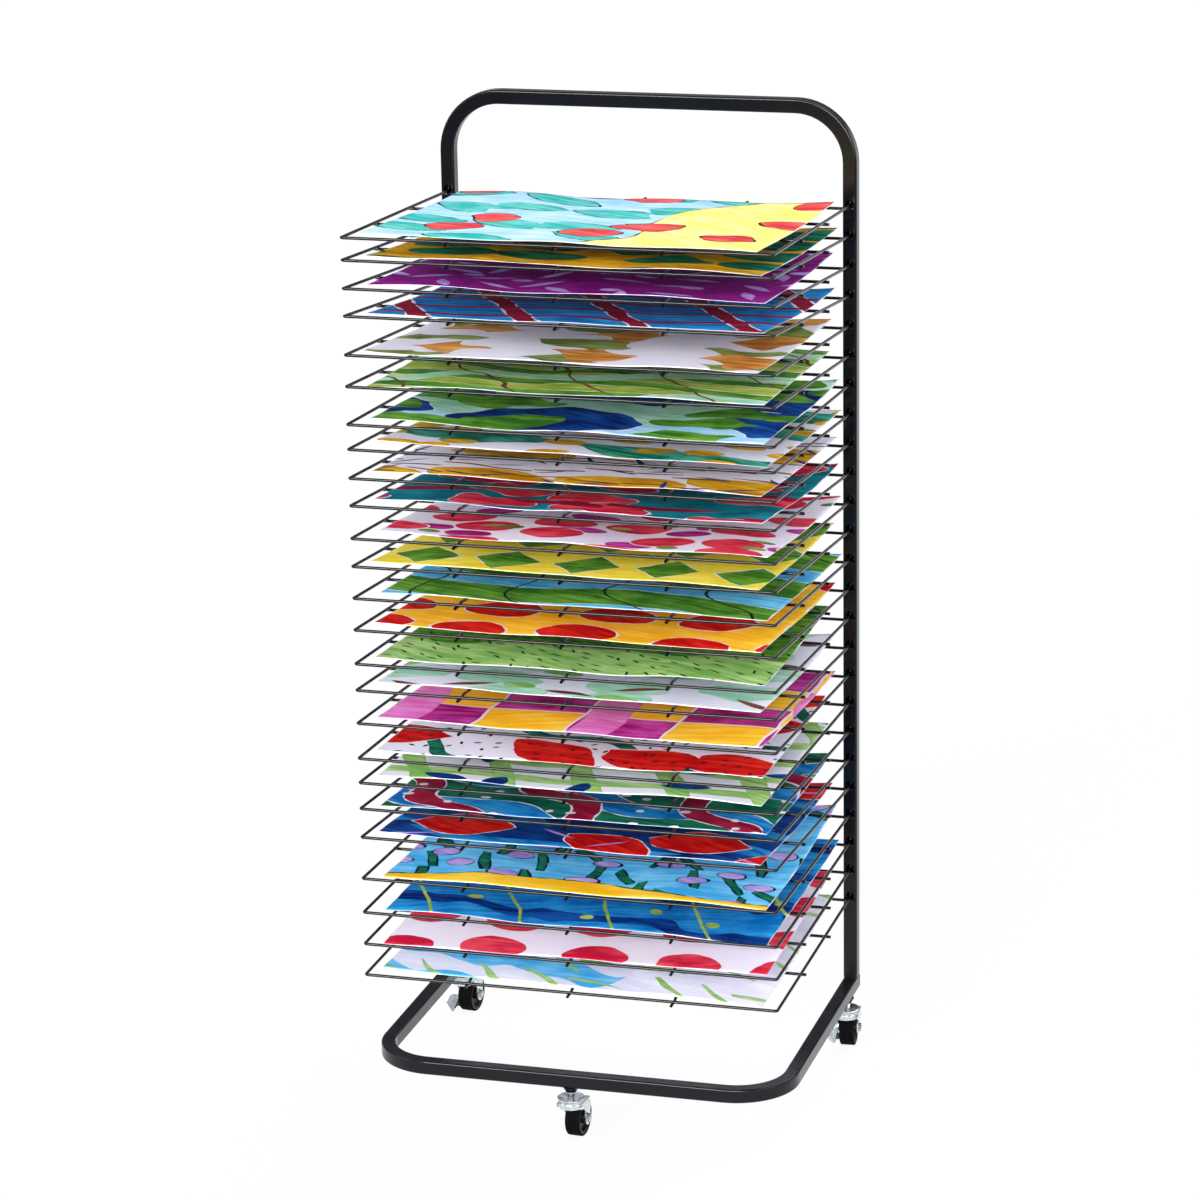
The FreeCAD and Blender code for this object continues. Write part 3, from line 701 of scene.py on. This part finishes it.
# For each shelf, top first: how far the sheet lies to the right of the middle
# and its front edge ahead of the pivots, in millimetres; its turn in degrees;
# the lift of its front left, front right and rear right corners, in
# millimetres; the ground colour; then each pattern laid on it, with its paint,
# its rim and its sizes.
SHEETS = [
    (-1, 331, 1.2, 1, 0, 5, "sky", [
        ("leaves", "turquoise", "ink", dict(Spacing=0.09, Length=0.11, Width=0.045, Angle=0.2, Spread=0.9)),
        ("hills", "straw", "brown", dict(Angle=-1.25, Height=-0.205, Swing=0.02, Length=0.3)),
        ("spots", "coral", "ink",
         dict(Spacing=0.17, Radius=0.03, Stretch=0.8, Scatter=0.75, Wobble=0.04, Seed=3.0))]),
    (2, 327, 1.2, 2, 0, 7, "gold", [
        ("spots", "bottle", None,
         dict(Spacing=0.115, Radius=0.048, Stretch=0.6, Scatter=0.4, Wobble=0.04))]),
    (3, 322, -0.5, 1, 0, 13, "purple", [
        ("leaves", "lilac", None, dict(Spacing=0.062, Length=0.055, Width=0.013, Spread=2.6)),
        ("spots", "lilac", None, dict(Spacing=0.12, Radius=0.011, Stretch=0.7, Scatter=0.9))]),
    (4, 331, 0.2, 1, 0, 10, "blue", [
        ("bands", "wine", "bare", dict(Angle=1.1, Pitch=0.1, Share=0.2)),
        ("bands", "wine", None, dict(Angle=-0.07, Pitch=0.06, Share=0.2, Swing=0.006))]),
    (-2, 335, 0.9, 1, 0, 8, "white", [
        ("diamonds", "olive", None, dict(Wide=0.17, Deep=0.1, Share=0.6, Wobble=0.09, Seed=9.3)),
        ("diamonds", "ochre", None, dict(Wide=0.15, Deep=0.12, Share=0.6, Wobble=0.07))]),
    (4, 334, -1.0, 0, 0, 6, "lime", [
        ("bands", "leaf", "bare", dict(Angle=0.12, Pitch=0.062, Share=0.45, Swing=0.01, Length=0.3)),
        ("bands", "mint", "bare", dict(Angle=-0.2, Pitch=0.13, Share=0.2, Swing=0.014)),
        ("bands", "brown", None, dict(Angle=1.0, Pitch=0.085, Share=0.04, Wobble=0.05))]),
    (5, 333, 1.0, 3, -1, 10, "mint", [
        ("hills", "sky", None, dict(Height=0.05, Swing=0.014, Length=0.3)),
        ("spots", "navy", "bare",
         dict(Spacing=0.26, Radius=0.1, Stretch=0.6, Scatter=0.4, Wobble=0.05, Seed=6.2)),
        ("spots", "leaf", None, dict(Spacing=0.15, Radius=0.052, Stretch=0.45, Scatter=0.7, Wobble=0.06))]),
    (2, 313, 1.2, 4, -1, 4, "white", [
        ("leaves", "emerald", "bare",
         dict(Spacing=0.12, Length=0.19, Width=0.06, Angle=0.1, Spread=0.5, Wobble=0.03)),
        ("spots", "gold", None, dict(Spacing=0.085, Radius=0.022, Stretch=0.6, Scatter=0.7))]),
    (-3, 314, 1.2, 2, 0, 5, "white", [
        ("leaves", "gold", None,
         dict(Spacing=0.13, Length=0.17, Width=0.07, Angle=0.05, Spread=0.5, Wobble=0.03)),
        ("leaves", "brown", None, dict(Spacing=0.05, Length=0.09, Width=0.006, Angle=0.1, Spread=0.5)),
        ("leaves", "navy", None, dict(Spacing=0.052, Length=0.045, Width=0.005, Spread=3.0))]),
    (-1, 315, 1.2, 2, 0, 10, "teal", [
        ("spots", "rose", "bare", dict(Spacing=0.14, Radius=0.05, Stretch=0.5, Scatter=0.6, Wobble=0.06)),
        ("leaves", "wine", None, dict(Spacing=0.12, Length=0.14, Width=0.02, Angle=0.1, Spread=0.6))]),
    (4, 318, 1.0, 1, 0, 4, "white", [
        ("spots", "magenta", "bare", dict(Spacing=0.11, Radius=0.026, Stretch=0.6, Scatter=0.8, Seed=4.2)),
        ("spots", "rose", "bare", dict(Spacing=0.095, Radius=0.034, Stretch=0.7, Scatter=0.6)),
        ("spots", "olive", None, dict(Spacing=0.1, Radius=0.012, Stretch=0.6, Scatter=0.9))]),
    (-3, 326, 1.2, 2, -1, 10, "lemon", [
        ("diamonds", "leaf", "bare", dict(Wide=0.085, Deep=0.11, Share=0.82))]),
    (4, 320, 1.2, 1, 0, 8, "azure", [
        ("bands", "leaf", "bare", dict(Angle=0.1, Pitch=0.12, Share=0.6, Swing=0.016, Length=0.4)),
        ("bands", "ink", None, dict(Angle=1.25, Pitch=0.1, Share=0.03, Swing=0.02, Length=0.22))]),
    (-2, 323, 1.1, 2, -1, 9, "amber", [
        ("spots", "red", "bare", dict(Spacing=0.112, Radius=0.041, Stretch=0.85, Scatter=0.2))]),
    (-1, 320, -0.7, 1, 0, 9, "leaf", [
        ("hills", "grass", None, dict(Height=0.1, Swing=0.016, Length=0.2, Wobble=0.06)),
        ("leaves", "ink", None, dict(Spacing=0.024, Length=0.016, Width=0.003, Angle=0.8, Spread=0.9))]),
    (-5, 314, 1.2, 2, 0, 14, "white", [
        ("spots", "mint", None, dict(Spacing=0.11, Radius=0.044, Stretch=0.7, Scatter=0.5, Wobble=0.05)),
        ("spots", "grass", None, dict(Spacing=0.14, Radius=0.02, Stretch=0.6, Scatter=0.8, Wobble=0.04)),
        ("leaves", "brown", None, dict(Spacing=0.085, Length=0.06, Width=0.012, Spread=1.6))]),
    (-1, 326, 1.0, 1, 0, 7, "amber", [
        ("blocks", "magenta", "bare", dict(Wide=0.1, Deep=0.075, Wobble=0.01)),
        ("bands", "pink", None, dict(Angle=1.57, Pitch=0.203, Share=0.22, Swing=0.004, Seed=0.4))]),
    (-5, 314, -1.0, 1, 0, 3, "white", [
        ("bands", "bottle", None, dict(Angle=0.55, Pitch=0.12, Share=0.16, Swing=0.02, Length=0.17)),
        ("leaves", "red", "bare", dict(Spacing=0.125, Length=0.13, Width=0.075, Angle=0.2, Spread=0.9)),
        ("leaves", "ink", None, dict(Spacing=0.024, Length=0.009, Width=0.004, Spread=3.0))]),
    (-5, 317, -0.2, 1, 0, 4, "white", [
        ("bands", "grass", None, dict(Angle=0.0, Pitch=0.062, Share=0.34)),
        ("bands", "grass", None, dict(Angle=1.2, Pitch=0.085, Share=0.28)),
        ("leaves", "navy", None, dict(Spacing=0.085, Length=0.05, Width=0.022, Spread=3.0))]),
    (2, 326, -0.8, 1, 0, 8, "bottle", [
        ("bands", "blue", "bare", dict(Angle=0.4, Pitch=0.11, Share=0.42, Swing=0.02)),
        ("bands", "wine", "bare", dict(Angle=1.0, Pitch=0.125, Share=0.27, Swing=0.014, Length=0.14)),
        ("spots", "white", None, dict(Spacing=0.05, Radius=0.005, Scatter=0.8))]),
    (-3, 328, 0.8, 1, 0, 6, "navy", [
        ("leaves", "blue", None, dict(Spacing=0.1, Length=0.14, Width=0.03, Angle=0.3, Spread=0.8)),
        ("leaves", "red", "bare", dict(Spacing=0.125, Length=0.115, Width=0.08, Spread=1.2)),
        ("leaves", "lilac", None, dict(Spacing=0.11, Length=0.05, Width=0.005, Spread=2.0))]),
    (4, 336, 0.5, 1, 0, 16, "azure", [
        ("leaves", "bottle", "ink", dict(Spacing=0.055, Length=0.11, Width=0.011, Angle=1.3, Spread=1.2)),
        ("spots", "lilac", "ink", dict(Spacing=0.075, Radius=0.016, Stretch=0.7, Scatter=0.7)),
        ("hills", "amber", "ink", dict(Height=0.026, Swing=0.012, Length=0.4))]),
    (5, 336, 1.0, 0, -1, 12, "blue", [
        ("bands", "navy", None, dict(Angle=0.1, Pitch=0.09, Share=0.26, Wobble=0.06)),
        ("bands", "lime", None, dict(Angle=1.15, Pitch=0.09, Share=0.04)),
        ("spots", "lime", None, dict(Spacing=0.09, Radius=0.007, Scatter=0.6))]),
    (4, 336, -0.8, 0, 0, 5, "white", [
        ("spots", "rose", "bare", dict(Spacing=0.098, Radius=0.034, Stretch=0.95, Scatter=0.2))]),
    (-2, 330, 1.1, 2, -1, 9, "azure", [
        ("bands", "white", None, dict(Angle=0.3, Pitch=0.09, Share=0.42, Wobble=0.08)),
        ("hills", "white", None, dict(Angle=-1.2, Height=-0.2, Swing=0.02, Length=0.2)),
        ("leaves", "grass", None, dict(Spacing=0.06, Length=0.1, Width=0.007, Angle=0.5, Spread=1.0))]),
]

# The top shelf's pivot and the pitch of those below it, how high the long
# wires' tops are over the pivots, and the slopes of the shelves in degrees.
PIVOT_Y, TOP_SHELF, PITCH = 0.1632, base_top + 0.84925, 0.03157
WIRE_TOP = 0.00325
SLOPES = [2.8, 4.3, 4.8, 5.4, 4.1, 4.0, 2.8, 3.8, 4.1, 4.6, 4.2, 4.6, 4.3,
          4.0, 3.3, 3.9, 3.3, 2.3, 3.2, 3.8, 3.9, 1.7, 0.8, 0.3, -0.1]

# From the shelf's middle to an outer long wire, and on to the sheet's edge; the
# sheet's sag, its droop and its least height over a wire; and how far its
# corners' curls run along its front and its side.
LONG_WIRES = 0.1095
OVERHANG = SHEET[0] / 2 - LONG_WIRES
SAG, DROOP, LOWEST = 0.0007, 0.0012, 0.0004
CURL_WIDE, CURL_DEEP = 0.17, 0.2


def height_over_wires(a, b, lifts, seed):
    """Height of the sheet over the wires at a, from the sheet's middle, and b,
    from its front edge: a sine-squared sag between the long wires, a droop as
    the square of the distance past the outer ones, a slanting sine buckle that
    grows to the rear, and at each corner the lift times the square of a ramp
    that starts on a slanting line."""
    past = np.clip(np.abs(a) - LONG_WIRES, 0, None)
    sag = np.where(past > 0, 0, SAG * np.sin(pi * a / LONG_WIRES) ** 2)
    droop = DROOP * (past / OVERHANG) ** 2
    wave_length, wave_height = 0.17 + 0.013 * (seed % 5), 0.0018 + 0.001 * (seed % 4)
    wave = 0.5 + 0.5 * np.sin(2 * pi * (a / wave_length + 0.7 * b / SHEET[1]) + 1.9 * seed)
    buckle = wave_height * wave * (0.55 + 0.45 * b / SHEET[1])
    height = buckle + LOWEST - sag - droop
    for lift, right, rear in zip(lifts, (-1, 1, 1, -1), (0, 0, 1, 1)):
        from_side = SHEET[0] / 2 - right * a
        from_end = SHEET[1] * rear + (1 - 2 * rear) * b
        far = from_side / CURL_WIDE + from_end / CURL_DEEP
        height += lift / 1000 * np.clip(1 - far, 0, 1) ** 2
    return height


COLUMNS, ROWS = 73, 55
REAR_LEFT_SHARE = 0.4

flat_u, flat_v = np.meshgrid(np.linspace(0, SHEET[0], COLUMNS), np.linspace(0, SHEET[1], ROWS))
flat = np.stack([flat_u, flat_v], -1).reshape(-1, 2)
corner = (np.arange(ROWS - 1)[:, None] * COLUMNS + np.arange(COLUMNS - 1)).ravel()
quads = np.stack([corner, corner + 1, corner + COLUMNS + 1, corner + COLUMNS], 1)

# A sheet's points are turned by its skew on the shelf's plane, then carried up
# the shelf's slope from its pivot.
for number, (across, front, askew, lift_fl, lift_fr, lift_rr, ground, layers) in enumerate(SHEETS):
    a = flat_u - SHEET[0] / 2
    height = height_over_wires(a, flat_v, (lift_fl, lift_fr, lift_rr, REAR_LEFT_SHARE * lift_rr), number + 1)
    skew, slope = radians(askew), radians(SLOPES[number])
    x = across / 1000 + a * cos(skew) + flat_v * sin(skew)
    reach = front / 1000 + a * sin(skew) - flat_v * cos(skew)
    lifted = WIRE_TOP + height
    pivot_z = TOP_SHELF - PITCH * number
    y = PIVOT_Y - reach * cos(slope) + lifted * sin(slope)
    z = pivot_z + reach * sin(slope) + lifted * cos(slope)
    name = "painted_sheet_%02d" % (number + 1)
    mesh = bpy.data.meshes.new(name)
    mesh.from_pydata(np.stack([x, y, z], -1).reshape(-1, 3).tolist(), [], quads.tolist())
    uv_map = mesh.uv_layers.new(name="sheet")
    uv_map.data.foreach_set("uv", flat[quads.ravel()].ravel().astype(np.float32))
    mesh.polygons.foreach_set("use_smooth", np.ones(len(quads), bool))
    mesh.materials.append(painted(name.replace("_", " "), ground, layers, number + 1.0))
    mesh.materials.append(paper_back)
    piece = bpy.data.objects.new(name, mesh)
    bpy.context.scene.collection.objects.link(piece)
    wall = piece.modifiers.new("paper", "SOLIDIFY")
    wall.thickness, wall.offset = PAPER, -1
    wall.material_offset, wall.material_offset_rim = 1, 1
    shelf = "shelf_%02d" % (number + 1)
    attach(piece, shelf)
    if number < PLAIN_SHEETS:
        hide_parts("sheet_%02d" % (number + 1))
    if number:
        rest = (0, PIVOT_Y + WIRE_TOP * sin(slope), pivot_z + WIRE_TOP * cos(slope))
        shelf + "_lift"
        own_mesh(piece)
